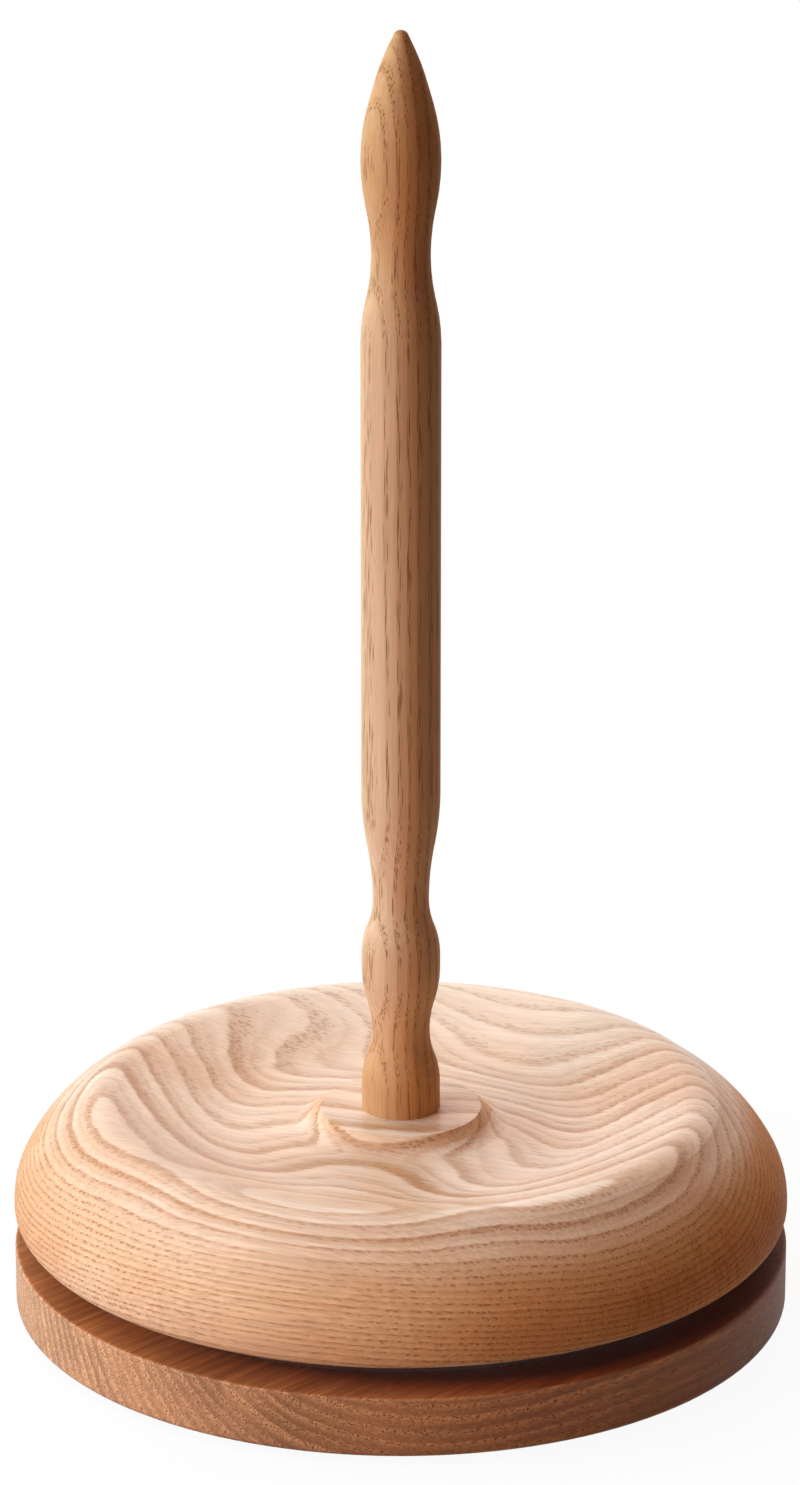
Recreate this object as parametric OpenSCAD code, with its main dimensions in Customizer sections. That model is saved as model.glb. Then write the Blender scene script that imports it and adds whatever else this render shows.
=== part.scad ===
// Wooden yarn holder: a turned spindle on a turned dish that spins on a base disc.
// Millimetres, +Z up. It stands on its feet at z = 0, with the turning axis on Z.

/* [Base] */
// Diameter of the base disc
base_d = 180; // [172:1:220]
// Thickness of the base disc
base_t = 14.5; // [12:0.5:24]
// Round along the base's top edge
base_top_round = 0.8; // [0.3:0.1:2]
// Round along the base's bottom edge
base_bottom_round = 1.4; // [0.3:0.1:3]
// Depth of the turned pocket that centres the outer ring
base_pocket = 1; // [0.5:0.1:2]
// Diameter of the hole that a driver reaches the inner ring's screws through
access_d = 10; // [8:0.5:11]

/* [Feet] */
// Diameter of each foot pad
foot_d = 12; // [8:1:18]
// Height of each foot pad
foot_h = 2; // [1:0.5:5]
// Round along the pad's lower edge
foot_round = 0.6; // [0.2:0.1:0.9]
// Diameter of the circle that the pads stand on
foot_circle_d = 150; // [130:1:152]

/* [Ring bearing] */
// Outside diameter of the outer ring
ring_od = 153; // [148:1:160]
// Radial width of each ring
ring_w = 11.5; // [10:0.5:14]
// Thickness of each ring
ring_t = 7.4; // [6.8:0.1:9]
// How far the inner ring stands above the outer ring
ring_rise = 1; // [0.6:0.1:1.4]
// Radial gap between the two rings
race_gap = 1.6; // [1.2:0.1:2]
// Bevel on the rings' corners
ring_bevel = 0.4; // [0.1:0.1:0.6]

/* [Balls] */
// Diameter of one ball
ball_d = 4.76; // [4:0.01:5.2]
// Number of balls
ball_count = 36; // [12:1:44]
// Thickness of the cage strip
cage_t = 0.8; // [0.5:0.1:1]
// Height of the cage strip
cage_h = 6.2; // [6:0.1:6.4]

/* [Screws] */
// Number of screws in each ring
screw_count = 6; // [3:1:8]
// Length of a screw
screw_len = 13; // [11:0.5:16]
// Diameter of a screw's shank
screw_d = 3.4; // [2.6:0.1:4]
// Diameter of a screw's head
screw_head_d = 6.6; // [5.4:0.1:7.4]
// Length of a screw's point
screw_point = 2.6; // [1:0.1:4]
// How far the screws lie off the middle of each ring, away from the balls
screw_shift = 0.6; // [0:0.1:1]

/* [Dish] */
// Diameter of the dish at its belly
dish_d = 180; // [172:1:220]
// Round under the dish's belly
dish_bottom_round = 3.5; // [1:0.1:4]
// Height of the belly's corner above the underside
belly_h = 9.1; // [7:0.1:12]
// How far the shoulder's corner lies in from the belly
shoulder_in = 6.5; // [4:0.1:9]
// Height of the shoulder's corner above the underside
shoulder_h = 20; // [17:0.1:23]
// How far the crest's corner lies in from the belly
crest_in = 19.6; // [16:0.1:24]
// Height of the crest's corner above the underside
crest_h = 29.9; // [27:0.1:34]
// Round over the crest of the rim
crest_round = 9; // [4:0.5:14]
// Diameter of the trough's outer corner
trough_d = 84; // [70:1:100]
// Height of the trough's corner above the underside
trough_h = 21; // [18:0.1:22]
// Round in the bottom of the trough
trough_round = 40; // [15:1:60]
// Diameter at the foot of the cove round the boss
cove_d = 45; // [42:0.5:52]
// Height of the cove's foot above the underside
cove_h = 22.5; // [20:0.1:23.5]
// Round of the cove
cove_round = 7; // [2:0.5:10]
// Diameter of the flat boss under the spindle
boss_d = 37.2; // [30:0.1:40]
// Height of the boss above the underside
boss_h = 26.1; // [25:0.1:30]
// Depth of the turned groove that seats the inner ring
dish_pocket = 1.2; // [0.6:0.1:2]

/* [Spindle] */
// Diameter of the tenon glued into the boss
tenon_d = 12; // [8:0.5:14]
// Length of the tenon
tenon_len = 18; // [10:0.5:20]
// Diameter of the straight foot
foot_stock_d = 18.1; // [16:0.1:24]
// Height of the straight foot
foot_stock_h = 6.6; // [3:0.1:12]
// Height of the curve from the foot to the first neck
foot_curve_h = 12.5; // [8:0.1:20]
// Diameter of the first neck
neck_1_d = 13.3; // [10:0.1:14.5]
// Height of the curve from the first neck to the bead
bead_rise_h = 15.4; // [10:0.1:24]
// Diameter of the bead
bead_d = 18.1; // [16:0.1:24]
// Height of the bead's straight middle
bead_h = 3.6; // [1:0.1:8]
// Height of the curve from the bead to the second neck
bead_fall_h = 13.4; // [8:0.1:20]
// Diameter of the second neck
neck_2_d = 12.9; // [10:0.1:14.5]
// Height of the curve from the second neck to the shank
shank_rise_h = 26.5; // [14:0.1:40]
// Diameter of the straight shank
shank_d = 18.1; // [16:0.1:24]
// Height of the straight shank
shank_h = 105.6; // [60:0.1:160]
// Height of the curve from the shank to the third neck
shank_fall_h = 20.7; // [12:0.1:32]
// Diameter of the third neck
neck_3_d = 13.3; // [10:0.1:14.5]
// Height of the curve from the third neck to the bulb
bulb_rise_h = 21.7; // [12:0.1:32]
// Diameter of the bulb
bulb_d = 17.9; // [16:0.1:24]
// Height from the bulb's widest line to the shoulder of the nose
nose_shoulder_h = 6.9; // [4:0.1:12]
// Height from the shoulder of the nose to its bend
nose_slope_h = 15; // [10:0.1:22]
// Diameter of the nose at its bend
nose_bend_d = 9.2; // [7:0.1:12]
// Height from the bend of the nose to the tip
nose_tip_h = 7.4; // [5:0.1:12]
// Diameter of the tip
tip_d = 2.4; // [2:0.1:6]
// Round over the tip
tip_round = 1.5; // [0.5:0.1:2.4]

/* [Clearances] */
// Gap all round a piece that is glued or screwed in place
seat_gap = 0.05; // [0.02:0.01:0.1]
// Gap between a ball and its races
ball_gap = 0.05; // [0.02:0.01:0.1]
// Gap between a ball and its cage pocket
pocket_gap = 0.12; // [0.05:0.01:0.2]
// Gap round a screw's shank where it passes through a ring
shank_gap = 0.2; // [0.1:0.05:0.4]
// Gap round the outer ring inside the dish's groove
groove_gap = 1; // [0.5:0.1:2]
// Air left at the end of a screw's hole or the tenon's socket
end_gap = 0.8; // [0.3:0.1:1.5]

/* [Hidden] */
$fn = 128;

wood = "burlywood";
dark_wood = "peru";
// How far a round laps the lines that it joins, so that its ends meet them cleanly
round_lap = 0.005;
// A round that is only limited by the lines beside it
full_round = 1000;

// Heights from the table up
base_z = foot_h;
base_top_z = base_z + base_t;
outer_ring_z = base_top_z - base_pocket;
inner_ring_z = outer_ring_z + ring_rise;
dish_seat_z = inner_ring_z + ring_t;
dish_z = dish_seat_z - dish_pocket;
boss_z = dish_z + boss_h;
ball_z = (outer_ring_z + dish_seat_z) / 2;

// Radii from the rim in
ring_r = ring_od / 2;
outer_race_r = ring_r - ring_w;
inner_race_r = outer_race_r - race_gap;
ring_bore_r = inner_race_r - ring_w;
ball_circle_r = (outer_race_r + inner_race_r) / 2;
ball_r = ball_d / 2;
outer_screw_r = ring_r - ring_w / 2 + screw_shift;
inner_screw_r = ring_bore_r + ring_w / 2 - screw_shift;
dish_r = dish_d / 2;
screw_head_h = (screw_head_d - screw_d) / 2;

// A turned outline is a list of corners, each [radius, height, round], run anticlockwise

function flat(p) = [p[0], p[1]];

function unit(v) = v / norm(v);

// The part of the line from p to q that a round at p may use
function room(p, q) = norm(flat(q) - flat(p)) * (q[2] > 0 ? 0.5 : 1);

// The corners of a double curve that leaves (r1, z1) and reaches (r2, z2) upright
function double_curve(r1, z1, r2, z2) =
    let (run = (pow(r2 - r1, 2) + pow(z2 - z1, 2)) / (4 * (z2 - z1)))
    [[r1, z1 + run, full_round], [r2, z2 - run, full_round], [r2, z2, 0]];

// The piece between the corner q and its round, where q comes after p and before s
module corner_piece(p, q, s) {
    corner = flat(q);
    back = unit(flat(p) - corner);
    ahead = unit(flat(s) - corner);
    half = acos(back * ahead) / 2;
    run = min(q[2] / tan(half), room(q, p), room(q, s));
    radius = run * tan(half);
    centre = corner + unit(back + ahead) * radius / sin(half);
    reach = norm(corner - centre) - radius + 10 * round_lap;
    difference() {
        polygon([corner + back * run, corner + unit(corner - centre) * reach, corner + ahead * run]);
        translate(centre) circle(radius + round_lap);
    }
}

// A solid turned from an outline, with its outward corners rounded off and its inward ones filled
module turned(outline) {
    count = len(outline);
    rotate_extrude() difference() {
        union() {
            polygon([for (p = outline) flat(p)]);
            for (i = [0 : count - 1])
                if (outline[i][2] > 0 && corner_turn(outline, i) < 0)
                    corner_piece(outline[(i + 1) % count], outline[i], outline[(i + count - 1) % count]);
        }
        for (i = [0 : count - 1])
            if (outline[i][2] > 0 && corner_turn(outline, i) > 0)
                corner_piece(outline[(i + count - 1) % count], outline[i], outline[(i + 1) % count]);
    }
}

// Positive where the outline turns left at corner i
function corner_turn(outline, i) =
    let (count = len(outline))
    let (p = flat(outline[(i + count - 1) % count]), q = flat(outline[i]), s = flat(outline[(i + 1) % count]))
    cross(q - p, s - q);

// Children repeated round the turning axis, the first at angle start
module round_axis(count, radius, start = 0) {
    for (i = [0 : count - 1])
        rotate(start + i * 360 / count) translate([radius, 0, 0]) children();
}

// One countersunk wood screw, head up with its face at z = 0
module screw() {
    rotate_extrude() polygon([
        [0, 0], [0, -screw_len], [screw_d / 2, screw_point - screw_len],
        [screw_d / 2, -screw_head_h], [screw_head_d / 2, 0]
    ]);
}

// The space for a screw through a ring, and for its shank in the wood beyond
module screw_hole() {
    wide_r = screw_d / 2 + shank_gap;
    head_r = screw_head_d / 2 + seat_gap;
    rotate_extrude() polygon([
        [0, screw_head_h], [0, -ring_t - end_gap], [wide_r, -ring_t - end_gap],
        [wide_r, wide_r - head_r], [head_r, 0], [head_r, screw_head_h]
    ]);
}

module pilot_hole() {
    translate([0, 0, -screw_len - end_gap]) cylinder(d = screw_d + 2 * seat_gap, h = screw_len);
}

// Screws of the outer ring stand head up, and those of the inner ring head down
module outer_screw_places() {
    translate([0, 0, outer_ring_z + ring_t]) round_axis(screw_count, outer_screw_r) children();
}

module inner_screw_places() {
    translate([0, 0, inner_ring_z]) round_axis(screw_count, inner_screw_r, 90) rotate([180, 0, 0]) children();
}

// The groove that the balls run in, shared by both rings
module ball_race() {
    translate([0, 0, ball_z]) rotate_extrude() translate([ball_circle_r, 0]) circle(ball_r + ball_gap);
}

module bearing_ring(inside_r, outside_r) {
    rotate_extrude() polygon([
        [inside_r + ring_bevel, 0], [outside_r - ring_bevel, 0], [outside_r, ring_bevel],
        [outside_r, ring_t - ring_bevel], [outside_r - ring_bevel, ring_t],
        [inside_r + ring_bevel, ring_t], [inside_r, ring_t - ring_bevel], [inside_r, ring_bevel]
    ]);
}

module base_disc() {
    color(dark_wood) difference() {
        turned([
            [0, base_z, 0], [base_d / 2, base_z, base_bottom_round],
            [base_d / 2, base_top_z, base_top_round], [0, base_top_z, 0]
        ]);
        translate([0, 0, outer_ring_z]) cylinder(r = ring_r + seat_gap, h = base_t);
        outer_screw_places() pilot_hole();
        rotate(90) translate([inner_screw_r, 0, base_z - base_t]) cylinder(d = access_d, h = 3 * base_t);
    }
}

// A stick-on pad under the base, at the given angle from +X
module foot(angle) {
    color("dimgray") rotate(angle) translate([foot_circle_d / 2, 0, 0]) turned([
        [0, 0, 0], [foot_d / 2, 0, foot_round], [foot_d / 2, foot_h, 0], [0, foot_h, 0]
    ]);
}

module bearing_outer_ring() {
    color("lightgray") difference() {
        translate([0, 0, outer_ring_z]) bearing_ring(outer_race_r, ring_r);
        ball_race();
        outer_screw_places() screw_hole();
    }
}

module outer_ring_screws() {
    color("gainsboro") outer_screw_places() screw();
}

module ball_cage() {
    color("ivory") difference() {
        translate([0, 0, ball_z - cage_h / 2]) difference() {
            cylinder(r = ball_circle_r + cage_t / 2, h = cage_h);
            translate([0, 0, -cage_h / 2]) cylinder(r = ball_circle_r - cage_t / 2, h = 2 * cage_h);
        }
        translate([0, 0, ball_z]) round_axis(ball_count, ball_circle_r)
            rotate([0, 90, 0]) cylinder(r = ball_r + pocket_gap, h = 4 * cage_t, center = true);
    }
}

module bearing_balls() {
    color("silver") translate([0, 0, ball_z]) round_axis(ball_count, ball_circle_r) sphere(r = ball_r);
}

module bearing_inner_ring() {
    color("lightgray") difference() {
        translate([0, 0, inner_ring_z]) bearing_ring(ring_bore_r, inner_race_r);
        ball_race();
        inner_screw_places() screw_hole();
    }
}

module inner_ring_screws() {
    color("gainsboro") inner_screw_places() screw();
}

module dish() {
    color(wood) difference() {
        turned([
            [0, dish_z, 0],
            [dish_r, dish_z, dish_bottom_round],
            [dish_r, dish_z + belly_h, full_round],
            [dish_r - shoulder_in, dish_z + shoulder_h, full_round],
            [dish_r - crest_in, dish_z + crest_h, crest_round],
            [trough_d / 2, dish_z + trough_h, trough_round],
            [cove_d / 2, dish_z + cove_h, cove_round],
            [boss_d / 2, boss_z, 0],
            [0, boss_z, 0]
        ]);
        translate([0, 0, dish_z - dish_pocket]) difference() {
            cylinder(r = ring_r + groove_gap, h = 2 * dish_pocket);
            cylinder(r = ring_bore_r - seat_gap, h = 3 * dish_pocket);
        }
        inner_screw_places() pilot_hole();
        translate([0, 0, boss_z - tenon_len - end_gap]) cylinder(d = tenon_d + 2 * seat_gap, h = boss_h);
    }
}

module spindle() {
    neck_1_z = boss_z + foot_stock_h + foot_curve_h;
    bead_z = neck_1_z + bead_rise_h;
    neck_2_z = bead_z + bead_h + bead_fall_h;
    shank_z = neck_2_z + shank_rise_h;
    neck_3_z = shank_z + shank_h + shank_fall_h;
    bulb_z = neck_3_z + bulb_rise_h;
    nose_z = bulb_z + nose_shoulder_h;
    bend_z = nose_z + nose_slope_h;
    tip_z = bend_z + nose_tip_h;
    color(wood) turned([
        [0, boss_z - tenon_len, 0],
        [tenon_d / 2, boss_z - tenon_len, 0],
        [tenon_d / 2, boss_z, 0],
        [foot_stock_d / 2, boss_z, 0],
        [foot_stock_d / 2, boss_z + foot_stock_h, 0],
        each double_curve(foot_stock_d / 2, boss_z + foot_stock_h, neck_1_d / 2, neck_1_z),
        each double_curve(neck_1_d / 2, neck_1_z, bead_d / 2, bead_z),
        [bead_d / 2, bead_z + bead_h, 0],
        each double_curve(bead_d / 2, bead_z + bead_h, neck_2_d / 2, neck_2_z),
        each double_curve(neck_2_d / 2, neck_2_z, shank_d / 2, shank_z),
        [shank_d / 2, shank_z + shank_h, 0],
        each double_curve(shank_d / 2, shank_z + shank_h, neck_3_d / 2, neck_3_z),
        each double_curve(neck_3_d / 2, neck_3_z, bulb_d / 2, bulb_z),
        [bulb_d / 2, nose_z, full_round],
        [nose_bend_d / 2, bend_z, full_round],
        [tip_d / 2, tip_z, tip_round],
        [0, tip_z, 0]
    ]);
}

base_disc();
foot(225);  // foot_front_left
foot(315);  // foot_front_right
foot(45);  // foot_back_right
foot(135);  // foot_back_left
bearing_outer_ring();
outer_ring_screws();
ball_cage();
bearing_balls();
bearing_inner_ring();
inner_ring_screws();
dish();
spindle();
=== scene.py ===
"""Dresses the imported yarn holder: turned, open-pored wood on a ring bearing, on a pale floor."""

import logging
import math
from abc import ABC, abstractmethod
from dataclasses import dataclass
from enum import Enum
from typing import ClassVar

import bmesh
import bpy
from mathutils import Matrix, Vector


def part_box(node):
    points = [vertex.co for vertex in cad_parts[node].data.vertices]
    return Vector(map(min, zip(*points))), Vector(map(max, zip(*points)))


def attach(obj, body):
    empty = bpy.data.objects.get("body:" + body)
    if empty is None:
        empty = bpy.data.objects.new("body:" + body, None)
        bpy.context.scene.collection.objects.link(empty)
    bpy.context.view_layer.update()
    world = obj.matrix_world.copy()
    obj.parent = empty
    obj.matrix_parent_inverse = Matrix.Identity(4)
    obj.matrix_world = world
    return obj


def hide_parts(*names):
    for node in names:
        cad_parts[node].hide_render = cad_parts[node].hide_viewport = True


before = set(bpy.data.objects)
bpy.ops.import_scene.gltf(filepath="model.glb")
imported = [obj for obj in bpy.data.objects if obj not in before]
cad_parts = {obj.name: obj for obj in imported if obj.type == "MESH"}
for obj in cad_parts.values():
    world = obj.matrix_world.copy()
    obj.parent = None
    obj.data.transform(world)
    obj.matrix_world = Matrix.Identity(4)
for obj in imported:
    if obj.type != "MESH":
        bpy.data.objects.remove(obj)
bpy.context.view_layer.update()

LOG = logging.getLogger("yarn_holder")
MM_PER_M = 1000.0
WHITE = (1.0, 1.0, 1.0)

Socket = bpy.types.NodeSocket
Span = tuple[float, float]
Triple = tuple[float, float, float]
Feed = float | Triple | tuple[float, float, float, float] | Socket


class SocketKind(Enum):
    """What a group's socket carries."""

    VALUE = "NodeSocketFloat"
    VECTOR = "NodeSocketVector"


def values(*names: str) -> dict[str, SocketKind]:
    """Names sockets that carry a value."""
    return dict.fromkeys(names, SocketKind.VALUE)


def vectors(*names: str) -> dict[str, SocketKind]:
    """Names sockets that carry a vector."""
    return dict.fromkeys(names, SocketKind.VECTOR)


class Blend(Enum):
    """How a second colour is laid over a first."""

    OVER = "MIX"
    TINT = "MULTIPLY"


def solid(colour: Feed) -> Feed:
    """Gives a colour of three numbers its alpha, and leaves sockets as they are."""
    plain = isinstance(colour, tuple) and len(colour) == 3
    return (*colour, 1.0) if plain else colour


class Graph:
    """Wires one shader tree with calls that give back the socket they make."""

    def __init__(self, tree: bpy.types.NodeTree) -> None:
        """Keeps the tree that is wired."""
        self.tree = tree

    def feed(self, socket: Socket, feed: Feed) -> None:
        """Links a socket into an input, or sets the input's own value.

        Args:
            socket: The input.
            feed: A socket to link, or a plain value.
        """
        if isinstance(feed, bpy.types.NodeSocket):
            self.tree.links.new(feed, socket)
        else:
            socket.default_value = feed

    def add(self, kind: str, feeds: dict | None = None, **options: object) -> bpy.types.Node:
        """Adds a node.

        Args:
            kind: The node's type name.
            feeds: What goes into its inputs, by name or index.
            **options: The node's own settings.

        Returns:
            The new node.
        """
        node = self.tree.nodes.new(kind)
        for name, value in options.items():
            setattr(node, name, value)
        for key, feed in (feeds or {}).items():
            self.feed(node.inputs[key], feed)
        return node

    def math(self, operation: str, *feeds: Feed) -> Socket:
        """Adds a Math node and gives its result."""
        return self.add("ShaderNodeMath", dict(enumerate(feeds)), operation=operation).outputs[0]

    def product(self, first: Feed, *others: Feed) -> Feed:
        """Multiplies values.

        Args:
            first: The first value.
            *others: What it is multiplied by, one after the other.

        Returns:
            The product.
        """
        result = first
        for other in others:
            result = self.math("MULTIPLY", result, other)
        return result

    def vector(self, operation: str, *feeds: Feed) -> Socket:
        """Adds a Vector Math node and gives its vector."""
        return self.add("ShaderNodeVectorMath", dict(enumerate(feeds)), operation=operation).outputs[0]

    def length(self, vector: Feed) -> Socket:
        """Measures a vector."""
        return self.add("ShaderNodeVectorMath", {0: vector}, operation="LENGTH").outputs["Value"]

    def turned(self, vector: Feed, turn: Feed) -> Socket:
        """Turns a vector by three angles in radians, about x, y and z."""
        feeds = {"Vector": vector, "Rotation": turn}
        return self.add("ShaderNodeVectorRotate", feeds, rotation_type="EULER_XYZ").outputs[0]

    def parts(self, vector: Feed) -> list[Socket]:
        """Splits a vector into its x, y and z."""
        return list(self.add("ShaderNodeSeparateXYZ", {0: vector}).outputs)

    def own_place(self) -> list[Socket]:
        """Gives a point's x, y and z in the piece's own frame, in metres."""
        return self.parts(self.add("ShaderNodeTexCoord").outputs["Object"])

    def point(self, x: Feed, y: Feed, z: Feed) -> Socket:
        """Joins three values into a vector."""
        return self.add("ShaderNodeCombineXYZ", {0: x, 1: y, 2: z}).outputs[0]

    def grey(self, value: Socket) -> Socket:
        """Makes a value into a grey."""
        return self.point(value, value, value)

    def noise(self, point: Feed, scale: float = 1.0, detail: float = 2.0, roughness: float = 0.5) -> Socket:
        """Adds a 3-D noise and gives its value, about 0 to 1.

        Args:
            point: Where the noise is read.
            scale: Lumps per unit.
            detail: How many finer layers it has.
            roughness: How strong the finer layers are.

        Returns:
            The noise's value.
        """
        feeds = {"Vector": point, "Scale": scale, "Detail": detail, "Roughness": roughness}
        return self.add("ShaderNodeTexNoise", feeds).outputs[0]

    def ramp(self, value: Feed, low: Feed, high: Feed, start: Feed = 0.0, end: Feed = 1.0) -> Socket:
        """Maps a value smoothly from low..high onto start..end, and holds it outside.

        Args:
            value: What is mapped.
            low: Where the ramp begins.
            high: Where the ramp is over.
            start: The result up to low.
            end: The result from high on.

        Returns:
            The mapped value.
        """
        feeds = {"Value": value, "From Min": low, "From Max": high, "To Min": start, "To Max": end}
        return self.add("ShaderNodeMapRange", feeds, interpolation_type="SMOOTHSTEP").outputs[0]

    def between(self, factor: Feed, first: Feed, second: Feed) -> Socket:
        """Goes from the first value at factor 0 to the second at factor 1."""
        return self.add("ShaderNodeMix", {0: factor, 2: first, 3: second}).outputs[0]

    def mix(self, factor: Feed, first: Feed, second: Feed, blend: Blend = Blend.OVER) -> Socket:
        """Blends two colours.

        Args:
            factor: 0 for the first colour, 1 for the blend with the second.
            first: The first colour.
            second: The second colour.
            blend: How the second is laid over the first.

        Returns:
            The blended colour.
        """
        feeds = {0: factor, 6: solid(first), 7: solid(second)}
        return self.add("ShaderNodeMix", feeds, data_type="RGBA", blend_type=blend.value).outputs[2]

    def bump(self, height: Socket, strength: float, depth: float) -> Socket:
        """Raises a face by a height of at most depth, in metres, and gives its normal."""
        feeds = {"Height": height, "Strength": strength, "Distance": depth}
        return self.add("ShaderNodeBump", feeds).outputs["Normal"]


class Effect(Graph, ABC):
    """A shader node group that is built once and placed in each material that uses it."""

    TITLE: ClassVar[str]
    TAKES: ClassVar[dict[str, SocketKind]]
    GIVES: ClassVar[dict[str, SocketKind]]

    def __init__(self, tree: bpy.types.NodeTree) -> None:
        """Makes the group's sockets and wires them.

        Args:
            tree: The group, still empty.
        """
        super().__init__(tree)
        for name, kind in self.TAKES.items():
            tree.interface.new_socket(name, in_out="INPUT", socket_type=kind.value)
        for name, kind in self.GIVES.items():
            tree.interface.new_socket(name, in_out="OUTPUT", socket_type=kind.value)
        entry = self.add("NodeGroupInput").outputs
        self.given = {name: entry[name] for name in self.TAKES}
        self.add("NodeGroupOutput", self.wire())

    @classmethod
    def place(cls, graph: Graph, feeds: dict[str, Feed]) -> dict[str, Socket]:
        """Places the effect in a material, and builds its group at its first use.

        Args:
            graph: The material's graph.
            feeds: What goes into the group's inputs.

        Returns:
            The group's outputs by name.
        """
        tree = bpy.data.node_groups.get(cls.TITLE)
        if tree is None:
            tree = bpy.data.node_groups.new(cls.TITLE, "ShaderNodeTree")
            cls(tree)
        node = graph.add("ShaderNodeGroup", feeds, node_tree=tree)
        return {name: node.outputs[name] for name in cls.GIVES}

    @abstractmethod
    def wire(self) -> dict[str, Socket]:
        """Wires the group from its given inputs, and returns what it puts out, by name."""


class LogSpace(Effect):
    """Where a point of the piece was in the log it was cut from, in millimetres, x along the grain."""

    TITLE = "log_space"
    TAKES = vectors("Pith", "Turn")
    GIVES = vectors("Point") | values("End Grain", "Steep")

    def wire(self) -> dict[str, Socket]:
        """Turns the piece's own coordinates into the log's.

        Returns:
            The place, how far the face is cut across the grain, and how upright it stands.
        """
        own = self.add("ShaderNodeTexCoord").outputs
        out = self.turned(self.vector("SUBTRACT", own["Object"], self.given["Pith"]), self.given["Turn"])
        along = self.parts(self.turned(own["Normal"], self.given["Turn"]))[0]
        upward = self.parts(own["Normal"])[2]
        return {
            "Point": self.vector("MULTIPLY", out, (MM_PER_M, MM_PER_M, MM_PER_M)),
            "End Grain": self.math("ABSOLUTE", along),
            "Steep": self.math("SUBTRACT", 1.0, self.math("ABSOLUTE", upward)),
        }


class TrunkSwell(Effect):
    """How far a swelling of the trunk pushes the rings out, or a hollow lets them in."""

    TITLE = "trunk_swell"
    TAKES = vectors("Point", "Centre", "Spread") | values("Rise")
    GIVES = values("Swell")

    def wire(self) -> dict[str, Socket]:
        """Lets the rise die away from the centre as a bell curve does.

        Returns:
            The push in millimetres.
        """
        away = self.vector("SUBTRACT", self.given["Point"], self.given["Centre"])
        along, across, _ = self.parts(self.vector("DIVIDE", away, self.given["Spread"]))
        square = self.math("MULTIPLY_ADD", along, along, self.product(across, across))
        bell = self.math("EXPONENT", self.product(square, -0.5))
        return {"Swell": self.product(bell, self.given["Rise"])}


class GrowthRings(Effect):
    """Yearly rings round the pith: a band of early wood that starts sharply and fades outwards."""

    TITLE = "growth_rings"
    TAKES = vectors("Point") | values(
        "Swell", "Pairing", "Ring Width", "Wander", "Ripple", "Fray", "Shift"
    )
    GIVES = values("Early", "Ring Tone")
    # Lumps per millimetre, along the grain and across it
    STRAYS = {"Wander": (0.009, 0.03, 0.03), "Ripple": (0.05, 0.22, 0.22), "Fray": (0.14, 1.7, 1.7)}
    # How often good and lean years change
    PACE = 0.4
    # Shares of a year, or of a pair, at which the early wood is full and at which it is over
    SINGLE_RISE = 0.16
    PAIR_RISE = 0.14
    FALL = 0.85

    def stray(self, name: str) -> Socket:
        """Reads how far a ring strays, to either side, by a noise drawn out along the grain."""
        lumps = self.noise(self.vector("MULTIPLY", self.given["Point"], self.STRAYS[name]), detail=1.5)
        return self.product(self.math("MULTIPLY_ADD", lumps, 2.0, -1.0), self.given[name])

    def year(self, count: Socket, rise: float) -> tuple[Socket, Socket]:
        """Shapes each year's band of early wood and draws its tone.

        Args:
            count: The years from the pith to the point.
            rise: The share of a year at which the early wood is full.

        Returns:
            The band and the year's tone, both 0 to 1.
        """
        phase = self.math("FRACT", count)
        onset = self.ramp(phase, 0.0, rise)
        fade = self.ramp(phase, rise, self.FALL, 1.0, 0.0)
        drawn = self.add("ShaderNodeTexWhiteNoise", {"W": self.math("FLOOR", count)}, noise_dimensions="1D")
        return self.product(onset, fade), drawn.outputs["Value"]

    def wire(self) -> dict[str, Socket]:
        """Counts the rings outwards from the pith, and fades every second one where they pair.

        Returns:
            How much of the wood is early wood, and the tone of its year.
        """
        reach = self.length(self.vector("MULTIPLY", self.given["Point"], (0.0, 1.0, 1.0)))
        reach = self.math("ADD", reach, self.given["Swell"])
        for name in self.STRAYS:
            reach = self.math("ADD", reach, self.stray(name))
        years = self.math("DIVIDE", reach, self.given["Ring Width"])
        count = self.math("ADD", years, self.given["Shift"])
        pace = self.noise(self.point(self.product(count, self.PACE), 0.0, 0.0), detail=1.0)
        count = self.math("ADD", count, pace)
        single, single_tone = self.year(count, self.SINGLE_RISE)
        pair, pair_tone = self.year(self.product(count, 0.5), self.PAIR_RISE)
        return {
            "Early": self.between(self.given["Pairing"], single, pair),
            "Ring Tone": self.between(self.given["Pairing"], single_tone, pair_tone),
        }


class OpenPores(Effect):
    """Open pores along the grain: dashes on long grain, dots on end grain, thick in the early wood."""

    TITLE = "open_pores"
    TAKES = vectors("Point") | values("Early", "Length", "Width", "Cover")
    GIVES = values("Pores")
    # How much early wood the pores need, and their share of full size where there is none
    EARLY_SPAN = (0.25, 0.8)
    LATE_SIZE = 0.12
    # The share of a pore that is at full depth
    FLOOR = 0.5

    def wire(self) -> dict[str, Socket]:
        """Sets one long pore in each cell of a stretched cell pattern.

        Returns:
            1 in a pore, 0 beside it.
        """
        size = self.point(self.given["Length"], self.given["Width"], self.given["Width"])
        cells = self.vector("DIVIDE", self.given["Point"], size)
        far = self.add("ShaderNodeTexVoronoi", {"Vector": cells, "Scale": 1.0}).outputs["Distance"]
        room = self.ramp(self.given["Early"], *self.EARLY_SPAN, self.LATE_SIZE, 1.0)
        edge = self.product(room, self.given["Cover"])
        return {"Pores": self.ramp(far, self.product(edge, self.FLOOR), edge, 1.0, 0.0)}


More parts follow.
